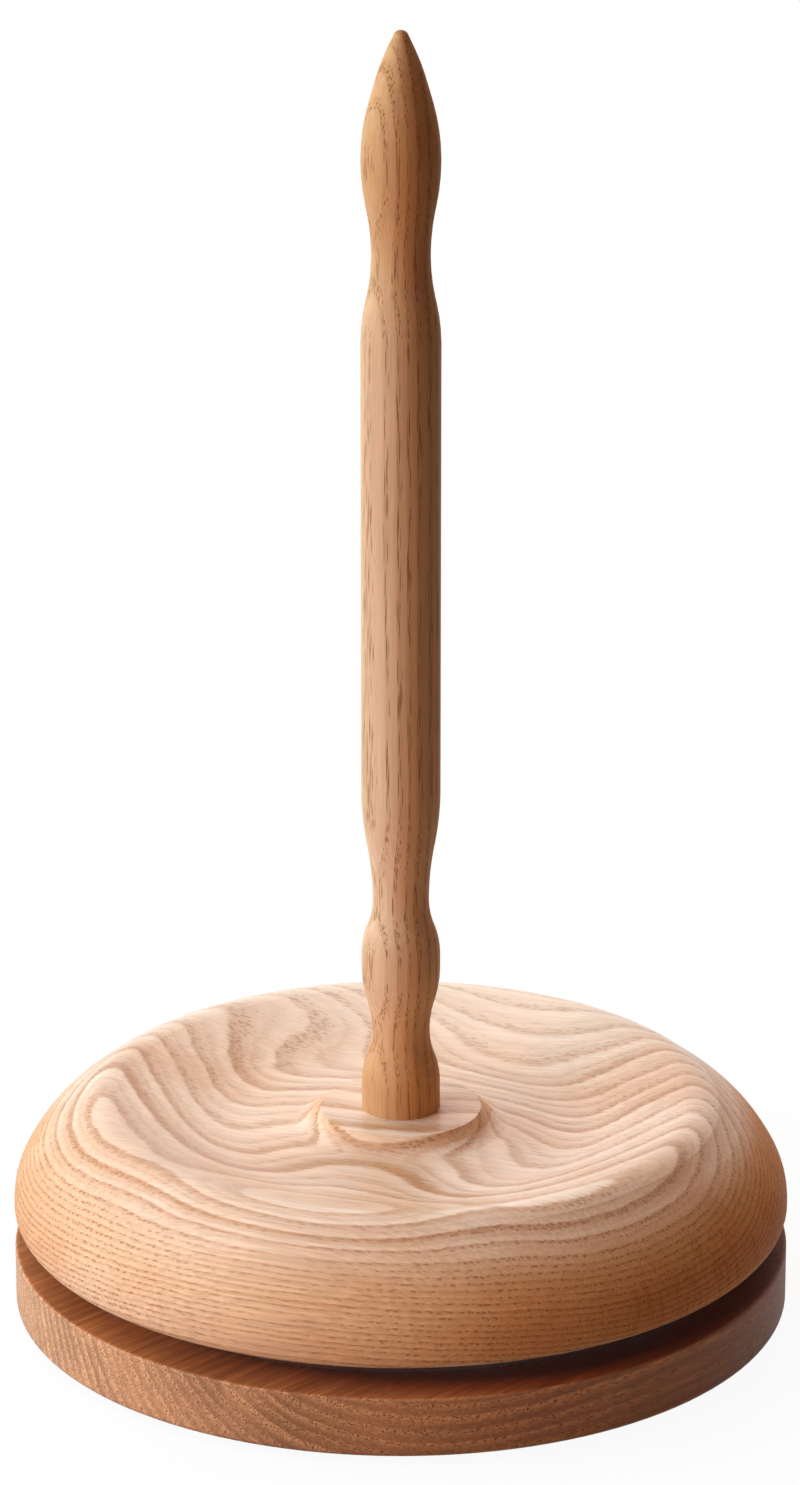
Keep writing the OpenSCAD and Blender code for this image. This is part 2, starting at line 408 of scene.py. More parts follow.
class FibreStreaks(Effect):
    """Fine streaks of fibre along the grain, and a broad change of tone."""

    TITLE = "fibre_streaks"
    TAKES = vectors("Point")
    GIVES = values("Streak", "Tone")
    # Lumps per millimetre, along the grain and across it
    FINE = (0.04, 1.6, 1.6)
    BROAD = (0.012, 0.05, 0.05)

    def wire(self) -> dict[str, Socket]:
        """Reads one fine and one broad noise, both drawn out along the grain.

        Returns:
            The fine streak and the broad tone.
        """
        fine = self.vector("MULTIPLY", self.given["Point"], self.FINE)
        broad = self.vector("MULTIPLY", self.given["Point"], self.BROAD)
        return {"Streak": self.noise(fine, detail=3.0, roughness=0.6), "Tone": self.noise(broad)}


class RayLines(Effect):
    """Fine lines from the pith outwards, as end grain shows them."""

    TITLE = "ray_lines"
    TAKES = vectors("Point") | values("End Grain")
    GIVES = values("Rays")
    # Lumps per millimetre of length, per radian, and per millimetre of radius
    ALONG = 0.3
    ROUND = 130.0
    OUTWARDS = 0.08
    # Noise values between which a line comes up, and how far a face must be cut across the grain
    LINE_SPAN = (0.5, 0.72)
    END_SPAN = (0.45, 0.9)

    def wire(self) -> dict[str, Socket]:
        """Draws a noise out along the radius from the pith.

        Returns:
            1 on a ray, 0 beside it.
        """
        x, y, z = self.parts(self.given["Point"])
        along = self.product(x, self.ALONG)
        turn = self.product(self.math("ARCTAN2", z, y), self.ROUND)
        reach = self.product(self.length(self.point(0.0, y, z)), self.OUTWARDS)
        lines = self.ramp(self.noise(self.point(along, turn, reach), detail=1.0), *self.LINE_SPAN)
        return {"Rays": self.product(lines, self.ramp(self.given["End Grain"], *self.END_SPAN))}


class TurningLines(Effect):
    """Faint rings round the turning axis, as a cutting tool leaves them."""

    TITLE = "turning_lines"
    TAKES = values("Pitch")
    GIVES = values("Lines")

    def wire(self) -> dict[str, Socket]:
        """Reads a noise by radius and height alone.

        Returns:
            The height of the lines, about 0 to 1.
        """
        x, y, z = self.own_place()
        radius = self.length(self.point(x, y, 0.0))
        spread = self.vector("DIVIDE", self.point(radius, z, 0.0), self.given["Pitch"])
        return {"Lines": self.noise(spread, roughness=0.6)}


class Scuffs(Effect):
    """Uneven polish: soft clouds with fine specks."""

    TITLE = "scuffs"
    TAKES = values("Size")
    GIVES = values("Cloud", "Speck")
    # How many times finer the specks are than the clouds
    FINER = 8.0

    def wire(self) -> dict[str, Socket]:
        """Reads one noise for the clouds and a finer one for the specks."""
        spread = self.vector("DIVIDE", self.add("ShaderNodeTexCoord").outputs["Object"], self.given["Size"])
        return {"Cloud": self.noise(spread), "Speck": self.noise(spread, self.FINER, roughness=0.6)}


def blank_material(title: str, colour: Triple) -> tuple[bpy.types.Material, Graph, bpy.types.Node]:
    """Makes a material with one Principled shader.

    Args:
        title: The material's name.
        colour: The colour that viewports show.

    Returns:
        The material, its graph and its shader.
    """
    material = bpy.data.materials.new(title)
    material.use_nodes = True
    material.diffuse_color = (*colour, 1.0)
    return material, Graph(material.node_tree), material.node_tree.nodes["Principled BSDF"]


@dataclass(frozen=True)
class Swell:
    """A swelling of the trunk, or a hollow where its rise is below zero, in millimetres from the pith."""

    along: float
    across: float
    length: float
    width: float
    rise: float


@dataclass(frozen=True)
class Grain:
    """What the shared effects tell about each place on a piece of wood."""

    end_grain: Socket
    steep: Socket
    early: Socket
    ring_tone: Socket
    pores: Socket
    streak: Socket
    tone: Socket
    rays: Socket
    lines: Socket


@dataclass(frozen=True)
class WoodFinish:
    """Open-pored, ring-porous wood under a thin satin oil.

    Attributes:
        late, early, pore: The colours of late wood, of early wood with its rays, and in the pores.
        blush: The colour that late wood drifts to.
        end, wall_shading, face: The tint of end grain, and painted shade and light on walls and on flat
            faces.
        shade_side: Painted shade on walls towards +x, the side away from the lamps, which begins along x
            over shade_side_span.
        pith: Where the log's pith passes, in metres.
        turn: How the log is turned against the piece, in degrees.
        ring_width, wander, ripple, fray: A year's growth, and how far it strays, in millimetres.
        shift: How far the rings are moved out, in years.
        pairing: The heights between which every second ring grows faint.
        pale_span: The heights left as they are, while ends_shade lays painted shade on the rest.
        back_pale: A paler colour, laid on by back_pale_share towards the back, along y over back_pale_span,
            more on flat faces than on walls.
        under_dish_shade: Painted shadow under the dish, a tint within a radius of under_dish_shade_within
            round an axis under_dish_shade_shift along x.
        band, bold: How strongly early wood shows, and how many times more on flat faces.
        pore_length, pore_width: A pore's cell, in millimetres.
        pore_cover, pore_depth: How much of its cell a pore takes up, and how dark it is.
        streak, rays: How dark a fibre streak gets, and how strongly rays show.
        satin, gloss, lacquer: The oil's roughness and specular level, and the coat on flat faces.
    """

    title: str
    late: Triple
    early: Triple
    pore: Triple
    blush: Triple
    end: Triple
    wall_shading: Triple
    shade_side: Triple
    shade_side_span: Span
    pith: Triple
    turn: Triple
    ring_width: float
    face: Triple = WHITE
    wander: float = 0.8
    ripple: float = 0.3
    fray: float = 0.16
    shift: float = 0.0
    pairing: Span | None = None
    swells: tuple[Swell, ...] = ()
    pale_span: Span | None = None
    ends_shade: Triple = WHITE
    back_pale: Triple | None = None
    back_pale_span: Span = (0.025, 0.065)
    back_pale_share: float = 0.5
    under_dish_shade_within: float | None = None
    under_dish_shade_shift: float = 0.0
    under_dish_shade: Triple = WHITE
    band: float = 0.8
    bold: float = 1.0
    pore_length: float = 5.0
    pore_width: float = 0.5
    pore_cover: float = 0.42
    pore_depth: float = 0.4
    streak: float = 0.9
    rays: float = 0.35
    satin: float = 0.55
    gloss: float = 0.05
    lacquer: float = 0.0

    # Steepness, 0 on a flat face and 1 on an upright wall, over which one tone goes over into another
    BOLD_SPAN = (0.08, 0.4)
    WALL_SPAN = (0.08, 0.5)
    COAT_SPAN = (0.08, 0.35)
    BACK_PALE_STEEP_SPAN = (0.1, 0.6)
    BACK_PALE_ON_WALLS = 0.2
    # How far a face is cut across the grain, from long grain at 0 to end grain at 1
    END_SPAN = (0.4, 0.9)
    DOT_SPAN = (0.05, 0.5)
    DOT_DEPTH = 0.85
    # Shares of the noises in the colour
    FAINTEST_RING = 0.5
    PAIR_SHARE = 0.7
    TONE_SPAN = (0.35, 0.7)
    BLUSH_SHARE = 0.75
    STREAK_SPAN = (0.3, 0.7)
    STREAK_LIGHT = 1.05
    # Lengths over which the painted shade of the ends and the painted shadow under the dish fade out, in
    # metres
    ENDS_SHADE_FADE_BELOW = 0.02
    ENDS_SHADE_FADE_ABOVE = 0.04
    UNDER_DISH_SHADE_FADE = 0.008
    # Roughness and relief
    PORE_ROUGH = 0.25
    FIBRE_ROUGH = 0.14
    COAT_ROUGH = 0.22
    TOOL_PITCH = 0.0006
    FIBRE_RELIEF = 0.35
    TOOL_RELIEF = 0.18
    BUMP_STRENGTH = 0.5
    BUMP_DEPTH = 0.0002

    def swollen(self, graph: Graph, point: Socket) -> Feed:
        """Adds up the swellings of the trunk.

        Args:
            graph: The material's graph.
            point: The place in the log.

        Returns:
            How far the rings are pushed out, in millimetres.
        """
        total: Feed = 0.0
        for swell in self.swells:
            push = TrunkSwell.place(graph, {
                "Point": point,
                "Centre": (swell.along, swell.across, 0.0),
                "Spread": (swell.length, swell.width, 1.0),
                "Rise": swell.rise,
            })
            total = graph.math("ADD", total, push["Swell"])
        return total

    def paired(self, graph: Graph) -> Feed:
        """Tells how faint every second ring is, which grows with height where the wood has such rings."""
        if self.pairing is None:
            return 0.0
        return graph.ramp(graph.own_place()[2], *self.pairing, 0.0, self.PAIR_SHARE)

    def read_grain(self, graph: Graph) -> Grain:
        """Places the shared effects with this wood's values.

        Args:
            graph: The material's graph.

        Returns:
            What they tell about each place.
        """
        turn = tuple(math.radians(angle) for angle in self.turn)
        log = LogSpace.place(graph, {"Pith": self.pith, "Turn": turn})
        rings = GrowthRings.place(graph, {
            "Point": log["Point"],
            "Swell": self.swollen(graph, log["Point"]),
            "Pairing": self.paired(graph),
            "Ring Width": self.ring_width,
            "Wander": self.wander,
            "Ripple": self.ripple,
            "Fray": self.fray,
            "Shift": self.shift,
        })
        pores = OpenPores.place(graph, {
            "Point": log["Point"],
            "Early": rings["Early"],
            "Length": self.pore_length,
            "Width": self.pore_width,
            "Cover": self.pore_cover,
        })
        fibre = FibreStreaks.place(graph, {"Point": log["Point"]})
        rays = RayLines.place(graph, {"Point": log["Point"], "End Grain": log["End Grain"]})
        lines = TurningLines.place(graph, {"Pitch": self.TOOL_PITCH})
        return Grain(
            end_grain=log["End Grain"],
            steep=log["Steep"],
            early=rings["Early"],
            ring_tone=rings["Ring Tone"],
            pores=pores["Pores"],
            streak=fibre["Streak"],
            tone=fibre["Tone"],
            rays=rays["Rays"],
            lines=lines["Lines"],
        )

    def ringed(self, graph: Graph, grain: Grain) -> Socket:
        """Colours the wood by its rings, fibres and rays.

        Args:
            graph: The material's graph.
            grain: What the effects tell.

        Returns:
            The colour.
        """
        tone = graph.math("MULTIPLY_ADD", grain.ring_tone, 1.0 - self.FAINTEST_RING, self.FAINTEST_RING)
        bold = graph.ramp(grain.steep, *self.BOLD_SPAN, self.bold, 1.0)
        strength = graph.product(grain.early, tone, self.band, bold)
        blushing = graph.ramp(grain.tone, *self.TONE_SPAN, 0.0, self.BLUSH_SHARE)
        colour = graph.mix(blushing, self.late, self.blush)
        colour = graph.mix(strength, colour, self.early)
        streak = graph.ramp(grain.streak, *self.STREAK_SPAN, self.streak, self.STREAK_LIGHT)
        colour = graph.mix(1.0, colour, graph.grey(streak), Blend.TINT)
        return graph.mix(graph.product(grain.rays, self.rays), colour, self.early)

    def faced(self, graph: Graph, grain: Grain, colour: Socket) -> Socket:
        """Tints end grain, and lays painted shade and light on walls and flat faces.

        Args:
            graph: The material's graph.
            grain: What the effects tell.
            colour: The wood's colour.

        Returns:
            The tinted colour.
        """
        colour = graph.mix(graph.ramp(grain.end_grain, *self.END_SPAN), colour, self.end, Blend.TINT)
        # Painted shade: walls darken towards +x, the side away from the lamps.
        shade_side_share = graph.ramp(graph.own_place()[0], *self.shade_side_span)
        painted_wall_shade = graph.mix(shade_side_share, self.wall_shading, self.shade_side)
        # Painted shade and light: walls and flat faces each get their own tint for how the light falls on
        # them.
        colour = graph.mix(graph.ramp(grain.steep, *self.WALL_SPAN), colour, painted_wall_shade, Blend.TINT)
        flatness = graph.ramp(grain.steep, *self.WALL_SPAN, 1.0, 0.0)
        return graph.mix(flatness, colour, self.face, Blend.TINT)

    def tinted(self, graph: Graph, grain: Grain, colour: Socket) -> Socket:
        """Lays painted shade outside its pale span, a paler colour towards the back, and a painted shadow
        under the dish, where it has these.

        Args:
            graph: The material's graph.
            grain: What the effects tell.
            colour: The wood's colour.

        Returns:
            The tinted colour.
        """
        x, y, z = graph.own_place()
        # Painted shade: the ends above and below the pale span darker and warmer.
        if self.pale_span is not None:
            low, high = self.pale_span
            below = graph.ramp(z, low - self.ENDS_SHADE_FADE_BELOW, low, 1.0, 0.0)
            above = graph.ramp(z, high, high + self.ENDS_SHADE_FADE_ABOVE)
            colour = graph.mix(graph.math("ADD", below, above), colour, self.ends_shade, Blend.TINT)
        # Makes the wood paler towards the back, more on flat faces than on walls.
        if self.back_pale is not None:
            on_walls = self.BACK_PALE_ON_WALLS * self.back_pale_share
            share = graph.ramp(grain.steep, *self.BACK_PALE_STEEP_SPAN, self.back_pale_share, on_walls)
            colour = graph.mix(graph.product(share, graph.ramp(y, *self.back_pale_span)), colour, self.back_pale)
        # Painted shadow under the dish: darkens the wood within a circle round an axis moved to +x, so it
        # reaches further out on the right.
        if self.under_dish_shade_within is not None:
            off_axis = graph.point(graph.math("SUBTRACT", x, self.under_dish_shade_shift), y, 0.0)
            inner = self.under_dish_shade_within - self.UNDER_DISH_SHADE_FADE
            near = graph.ramp(graph.length(off_axis), inner, self.under_dish_shade_within, 1.0, 0.0)
            colour = graph.mix(near, colour, self.under_dish_shade, Blend.TINT)
        return colour

    def relief(self, graph: Graph, grain: Grain) -> Socket:
        """Sinks the pores and raises fibres and turning lines.

        Args:
            graph: The material's graph.
            grain: What the effects tell.

        Returns:
            The normal.
        """
        height = graph.math("SUBTRACT", graph.product(grain.streak, self.FIBRE_RELIEF), grain.pores)
        height = graph.math("MULTIPLY_ADD", grain.lines, self.TOOL_RELIEF, height)
        return graph.bump(height, self.BUMP_STRENGTH, self.BUMP_DEPTH)

    def material(self) -> bpy.types.Material:
        """Builds the wood from the shared effects.

        Returns:
            The material.
        """
        material, graph, shader = blank_material(self.title, self.late)
        grain = self.read_grain(graph)
        colour = self.faced(graph, grain, self.ringed(graph, grain))
        colour = self.tinted(graph, grain, colour)
        cut = graph.ramp(grain.end_grain, *self.DOT_SPAN, self.pore_depth, self.DOT_DEPTH)
        colour = graph.mix(graph.product(grain.pores, cut), colour, self.pore)
        graph.feed(shader.inputs["Base Color"], colour)
        smooth = self.satin - self.FIBRE_ROUGH / 2
        rough = graph.math("MULTIPLY_ADD", grain.streak, self.FIBRE_ROUGH, smooth)
        rough = graph.math("MULTIPLY_ADD", grain.pores, self.PORE_ROUGH, rough)
        graph.feed(shader.inputs["Roughness"], rough)
        shader.inputs["Specular IOR Level"].default_value = self.gloss
        if self.lacquer:
            coat = graph.ramp(grain.steep, *self.COAT_SPAN, self.lacquer, 0.0)
            graph.feed(shader.inputs["Coat Weight"], coat)
            shader.inputs["Coat Roughness"].default_value = self.COAT_ROUGH
        graph.feed(shader.inputs["Normal"], self.relief(graph, grain))
        return material


@dataclass(frozen=True)
class ScuffedFinish:
    """A surface of one colour with an uneven polish, whose clouds are as large as grain, in metres."""

    title: str
    colour: Triple
    rough: float
    grain: float

    CLOUD_SPAN = (0.3, 0.7)
    SHADES: ClassVar[Span]
    SPECK_ROUGH: ClassVar[float]

    def clouded(self, graph: Graph, cloud: Socket) -> Socket:
        """Shades the colour by the clouds."""
        shade = graph.ramp(cloud, *self.CLOUD_SPAN, *self.SHADES)
        return graph.mix(1.0, self.colour, graph.grey(shade), Blend.TINT)

    def speckled(self, graph: Graph, speck: Socket) -> Socket:
        """Spreads the roughness about its middle by the specks."""
        return graph.math("MULTIPLY_ADD", speck, self.SPECK_ROUGH, self.rough - self.SPECK_ROUGH / 2)


@dataclass(frozen=True)
class MetalFinish(ScuffedFinish):
    """Bare metal with tool marks round the axis, which show as strongly as tool_marks says."""

    tool_marks: float

    SHADES = (0.9, 1.0)
    SPECK_ROUGH = 0.16
    MARK_ROUGH = 0.1
    TOOL_PITCH = 0.00025
    BUMP_STRENGTH = 0.4
    BUMP_DEPTH = 0.00004

    def material(self) -> bpy.types.Material:
        """Builds the metal from the shared effects.

        Returns:
            The material.
        """
        material, graph, shader = blank_material(self.title, self.colour)
        scuffs = Scuffs.place(graph, {"Size": self.grain})
        lines = TurningLines.place(graph, {"Pitch": self.TOOL_PITCH})["Lines"]
        graph.feed(shader.inputs["Base Color"], self.clouded(graph, scuffs["Cloud"]))
        rough = self.speckled(graph, scuffs["Speck"])
        rough = graph.math("MULTIPLY_ADD", lines, self.MARK_ROUGH * self.tool_marks, rough)
        graph.feed(shader.inputs["Roughness"], rough)
        shader.inputs["Metallic"].default_value = 1.0
        relief = graph.bump(lines, self.BUMP_STRENGTH * self.tool_marks, self.BUMP_DEPTH)
        graph.feed(shader.inputs["Normal"], relief)
        return material


@dataclass(frozen=True)
class MouldedFinish(ScuffedFinish):
    """Moulded nylon or rubber with a fine skin, which lets through as much light as through says."""

    through: float = 0.0

    SHADES = (0.86, 1.04)
    SPECK_ROUGH = 0.2
    LIGHT_DEPTH = 0.001
    BUMP_STRENGTH = 0.3
    BUMP_DEPTH = 0.00005

    def material(self) -> bpy.types.Material:
        """Builds the moulded skin from the shared effects.

        Returns:
            The material.
        """
        material, graph, shader = blank_material(self.title, self.colour)
        scuffs = Scuffs.place(graph, {"Size": self.grain})
        graph.feed(shader.inputs["Base Color"], self.clouded(graph, scuffs["Cloud"]))
        graph.feed(shader.inputs["Roughness"], self.speckled(graph, scuffs["Speck"]))
        shader.inputs["Subsurface Weight"].default_value = self.through
        shader.inputs["Subsurface Scale"].default_value = self.LIGHT_DEPTH
        relief = graph.bump(scuffs["Speck"], self.BUMP_STRENGTH, self.BUMP_DEPTH)
        graph.feed(shader.inputs["Normal"], relief)
        return material


def dress(node: str, material: bpy.types.Material) -> None:
    """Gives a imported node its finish.

    Args:
        node: The node's name.
        material: The finish.
    """
    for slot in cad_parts[node].material_slots:
        slot.material = material
    LOG.info("%s dressed in %s", node, material.name)


@dataclass
class Turntable:
    """The dish and the spindle that is glued into it."""

    dish_wood: WoodFinish = WoodFinish(
        title="dish_wood",
        late=(0.91, 0.69, 0.54),
        early=(0.55, 0.27, 0.13),
        pore=(0.43, 0.19, 0.08),
        blush=(0.815, 0.53, 0.365),
        end=(0.93, 0.77, 0.64),
        # Painted shade: walls darker and more orange than flat faces, and darker still towards +x, away
        # from the lamps.
        wall_shading=(1.0, 0.92, 0.79),
        shade_side=(0.93, 0.74, 0.47),
        shade_side_span=(-0.065, 0.03),
        # Paler towards the back, more on flat faces.
        back_pale=(0.97, 0.83, 0.70),
        pith=(-0.0144, -0.0395, 0.210),
        turn=(0.0, 0.0, 20.0),
        ring_width=1.4,
        fray=0.22,
        pairing=(0.0405, 0.0465),
        swells=(
            Swell(along=-35.0, across=90.0, length=26.0, width=14.0, rise=-7.0),
            Swell(along=20.0, across=40.0, length=10.0, width=10.0, rise=-2.5),
            Swell(along=2.0, across=-8.0, length=20.0, width=18.0, rise=-8.0),
            Swell(along=-38.0, across=-20.0, length=12.0, width=8.0, rise=1.5),
            Swell(along=42.0, across=-18.0, length=12.0, width=8.0, rise=1.5),
        ),
        pore_length=2.6,
        pore_width=0.62,
        pore_cover=0.52,
        pore_depth=0.3,
        band=0.5,
        bold=2.0,
        streak=0.84,
        lacquer=0.85,
    )
    spindle_wood: WoodFinish = WoodFinish(
        title="spindle_wood",
        late=(0.77, 0.53, 0.34),
        early=(0.54, 0.28, 0.125),
        pore=(0.27, 0.10, 0.035),
        blush=(0.70, 0.45, 0.27),
        end=(0.72, 0.58, 0.45),
        wall_shading=WHITE,
        # Painted shade: the walls darker towards +x, away from the lamps.
        shade_side=(0.84, 0.81, 0.74),
        shade_side_span=(-0.002, 0.006),
        pith=(-0.03, -0.02, 0.0),
        turn=(0.0, 90.0, 0.0),
        ring_width=2.4,
        shift=-0.42,
        band=0.42,
        # Painted shade: the foot and the bulb, outside the pale span, darker and warmer.
        pale_span=(0.080, 0.225),
        ends_shade=(0.90, 0.78, 0.62),
        pore_length=9.0,
        pore_width=0.32,
        pore_cover=0.46,
        pore_depth=0.75,
        lacquer=0.15,
    )

    def build(self) -> None:
        """Dresses the dish and the spindle."""
        dress("dish", self.dish_wood.material())
        dress("spindle", self.spindle_wood.material())


@dataclass
class Base:
    """The base disc and the pads it stands on."""

    wood: WoodFinish = WoodFinish(
        title="base_wood",
        late=(0.44, 0.225, 0.125),
        early=(0.92, 0.53, 0.30),
        pore=(0.14, 0.05, 0.02),
        blush=(0.70, 0.375, 0.205),
        end=(0.86, 0.83, 0.79),
        # Painted shade and light: walls lighter, and the flat top darker and redder, than the wood itself;
        # walls a little darker towards +x.
        wall_shading=(1.26, 1.28, 1.30),
        shade_side=(0.97, 0.92, 0.85),
        shade_side_span=(-0.08, -0.01),
        face=(0.82, 0.50, 0.29),
        # Painted shadow under the dish, reaching further out on the right.
        under_dish_shade_within=0.086,
        under_dish_shade_shift=0.010,
        under_dish_shade=(0.29, 0.16, 0.14),
        pith=(0.0495, -0.0495, 0.055),
        turn=(0.0, 0.0, -45.0),
        ring_width=3.0,
        wander=1.6,
        ripple=0.5,
        fray=0.3,
        band=0.95,
        bold=0.5,
        streak=0.66,
        rays=0.08,
        gloss=0.22,
    )
    rubber: MouldedFinish = MouldedFinish("foot_rubber", (0.035, 0.035, 0.036), rough=0.75, grain=0.002)
    feet: tuple[str, ...] = ("foot_front_left", "foot_front_right", "foot_back_right", "foot_back_left")

    def build(self) -> None:
        """Dresses the disc and its pads."""
        dress("base_disc", self.wood.material())
        rubber = self.rubber.material()
        for foot in self.feet:
            dress(foot, rubber)


class HeadSide(Enum):
    """Which way the heads of a ring's screws look, as the turn about x that a screw needs for it."""

    UP = 0.0
    DOWN = math.pi


@dataclass(frozen=True)
class RingScrews:
    """Countersunk wood screws through a ring, with rolled threads and cross recesses, in metres.

    Attributes:
        title, node, body: The piece's name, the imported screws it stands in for, and what it rides on.
        first: Where the first screw is on its circle, in degrees.
        head_radius: The countersink's radius at the head's face, before its rim is taken off.
        crest: The width of the thread's ridge, as a share of the pitch.
        recess_taper: The recess's size at its bottom, as a share of that at the head's face.
        steps_between: How many points lie from the corner of an arm to the middle between two arms.
    """

    title: str
    node: str
    body: str
    heads: HeadSide
    first: float
    count: int = 6
    head_radius: float = 0.0033
    head_rim: float = 0.00015
    shank_radius: float = 0.0014
    shank_length: float = 0.0025
    thread_radius: float = 0.0017
    core_radius: float = 0.00115
    pitch: float = 0.0013
    crest: float = 0.55
    point_length: float = 0.0026
    rings_per_turn: int = 6
    arms: int = 4
    arm_length: float = 0.0019
    arm_half_width: float = 0.00048
    recess_depth: float = 0.0015
    recess_taper: float = 0.45
    steps_between: int = 3
    sharp_degrees: float = 35.0

    @property
    def sector(self) -> float:
        """Gives the angle from one arm of the recess to the next."""
        return 2 * math.pi / self.arms

    def angles(self) -> list[float]:
        """Lists the angles of a ring's points, which include the corners of the recess.

        Returns:
            The angles in radians, once round.
        """
        corner = math.atan2(self.arm_half_width, self.arm_length)
        gap = (self.sector / 2 - corner) / self.steps_between
        side = [corner + step * gap for step in range(self.steps_between)]
        arm = [-self.sector / 2, *(-angle for angle in reversed(side)), 0.0, *side]
        return [number * self.sector + angle for number in range(self.arms) for angle in arm]

    def recess_reach(self, angle: float) -> float:
        """Gives the distance from the middle of the head to the edge of the cross.

        Args:
            angle: The direction, in radians.

        Returns:
            The distance in metres.
        """
        off_arm = (angle + self.sector / 2) % self.sector - self.sector / 2
        if abs(math.tan(off_arm)) < self.arm_half_width / self.arm_length:
            return self.arm_length / math.cos(off_arm)
        return self.arm_half_width / abs(math.sin(off_arm))

    def thread_reach(self, below: float, angle: float, left: float) -> float:
        """Gives the radius of the threaded part, as a ridge that winds round the core.

        Args:
            below: How far the place lies below the start of the thread.
            angle: Its direction, in radians.
            left: How far it is from there to the tip.

        Returns:
            The radius in metres.
        """
        turns = below / self.pitch
        phase = (turns - angle / (2 * math.pi)) % 1.0
        ridge = max(0.0, 1.0 - abs(2 * phase - 1) / self.crest) * min(1.0, turns)
        radius = self.core_radius + (self.thread_radius - self.core_radius) * ridge
        return radius * min(1.0, left / self.point_length)

    def levels(self, length: float) -> list[tuple[float, list[float]]]:
        """Lists the rings of one screw, from the bottom of its recess out to its tip.

        Args:
            length: The screw's length.

        Returns:
            Each ring's depth below the head's face, and its radius at each angle.
        """
        angles = self.angles()
        cross = [self.recess_reach(angle) for angle in angles]
        rim = [self.head_radius - self.head_rim] * len(angles)
        shank = [self.shank_radius] * len(angles)
        neck = self.head_radius - self.shank_radius
        start = neck + self.shank_length
        step_height = self.pitch / self.rings_per_turn
        found = [
            (self.recess_depth, [reach * self.recess_taper for reach in cross]),
            (0.0, cross),
            (0.0, rim),
            (self.head_rim, rim),
            (neck, shank),
            (start - step_height, shank),
        ]
        for step in range(int((length - start) / step_height)):
            below = step * step_height
            left = length - start - below
            found.append((start + below, [self.thread_reach(below, angle, left) for angle in angles]))
        return found

    def add_screw(self, mesh: bmesh.types.BMesh, length: float, place: Matrix) -> None:
        """Adds one closed screw.

        Args:
            mesh: The mesh that it goes into.
            length: The screw's length.
            place: Where its head's face lies, with z out of the face.
        """
        angles = self.angles()
        levels = self.levels(length)
        rings = []
        for depth, reaches in levels:
            spots = [
                Vector((reach * math.cos(angle), reach * math.sin(angle), -depth))
                for angle, reach in zip(angles, reaches)
            ]
            rings.append([mesh.verts.new(place @ spot) for spot in spots])
        ends = [mesh.verts.new(place @ Vector((0.0, 0.0, -depth))) for depth in (levels[0][0], length)]
        for index in range(len(angles)):
            after = (index + 1) % len(angles)
            mesh.faces.new((ends[0], rings[0][index], rings[0][after]))
            for near, far in zip(rings, rings[1:]):
                mesh.faces.new((near[index], far[index], far[after], near[after]))
            mesh.faces.new((ends[1], rings[-1][after], rings[-1][index]))

    def shaped(self) -> bpy.types.Mesh:
        """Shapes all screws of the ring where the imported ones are.

        Returns:
            One mesh of closed screws.
        """
        low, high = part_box(self.node)
        circle = max(high.x, high.y) - self.head_radius
        face = high.z if self.heads is HeadSide.UP else low.z
        screws = bmesh.new()
        for index in range(self.count):
            angle = math.radians(self.first) + index * 2 * math.pi / self.count
            place = Matrix.Rotation(angle, 4, "Z") @ Matrix.Translation((circle, 0.0, face))
            self.add_screw(screws, high.z - low.z, place @ Matrix.Rotation(self.heads.value, 4, "X"))
        bmesh.ops.recalc_face_normals(screws, faces=screws.faces)
        mesh = bpy.data.meshes.new(self.title)
        screws.to_mesh(mesh)
        screws.free()
        mesh.shade_smooth()
        mesh.set_sharp_from_angle(angle=math.radians(self.sharp_degrees))
        return mesh

    def build(self, material: bpy.types.Material) -> None:
        """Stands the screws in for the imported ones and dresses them.

        Args:
            material: The screws' finish.
        """
        mesh = self.shaped()
        mesh.materials.append(material)
        screws = bpy.data.objects.new(self.title, mesh)
        bpy.context.scene.collection.objects.link(screws)
        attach(screws, self.body)
        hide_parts(self.node)
        LOG.info("%s cut and dressed in %s", self.title, material.name)


@dataclass
class Bearing:
    """The ring bearing with its balls, cage and screws."""

    outer_screws: RingScrews = RingScrews(
        "outer_ring_wood_screws", "outer_ring_screws", "base", HeadSide.UP, first=0.0
    )
    inner_screws: RingScrews = RingScrews(
        "inner_ring_wood_screws", "inner_ring_screws", "turntable", HeadSide.DOWN, first=90.0
    )
    aluminium: MetalFinish = MetalFinish(
        "ring_aluminium", (0.62, 0.60, 0.58), rough=0.12, grain=0.012, tool_marks=0.15
    )
    zinc: MetalFinish = MetalFinish(
        "screw_steel", (0.62, 0.62, 0.63), rough=0.34, grain=0.003, tool_marks=0.2
    )
    chrome: MetalFinish = MetalFinish(
        "ball_steel", (0.78, 0.78, 0.80), rough=0.14, grain=0.002, tool_marks=0.0
    )
    nylon: MouldedFinish = MouldedFinish(
        "cage_nylon", (0.80, 0.78, 0.70), rough=0.5, grain=0.003, through=0.2
    )

    def build(self) -> None:
        """Dresses the rings, the balls and their cage, and cuts the screws."""
        aluminium = self.aluminium.material()
        dress("bearing_outer_ring", aluminium)
        dress("bearing_inner_ring", aluminium)
        zinc = self.zinc.material()
        self.outer_screws.build(zinc)
        self.inner_screws.build(zinc)
        dress("bearing_balls", self.chrome.material())
        dress("ball_cage", self.nylon.material())


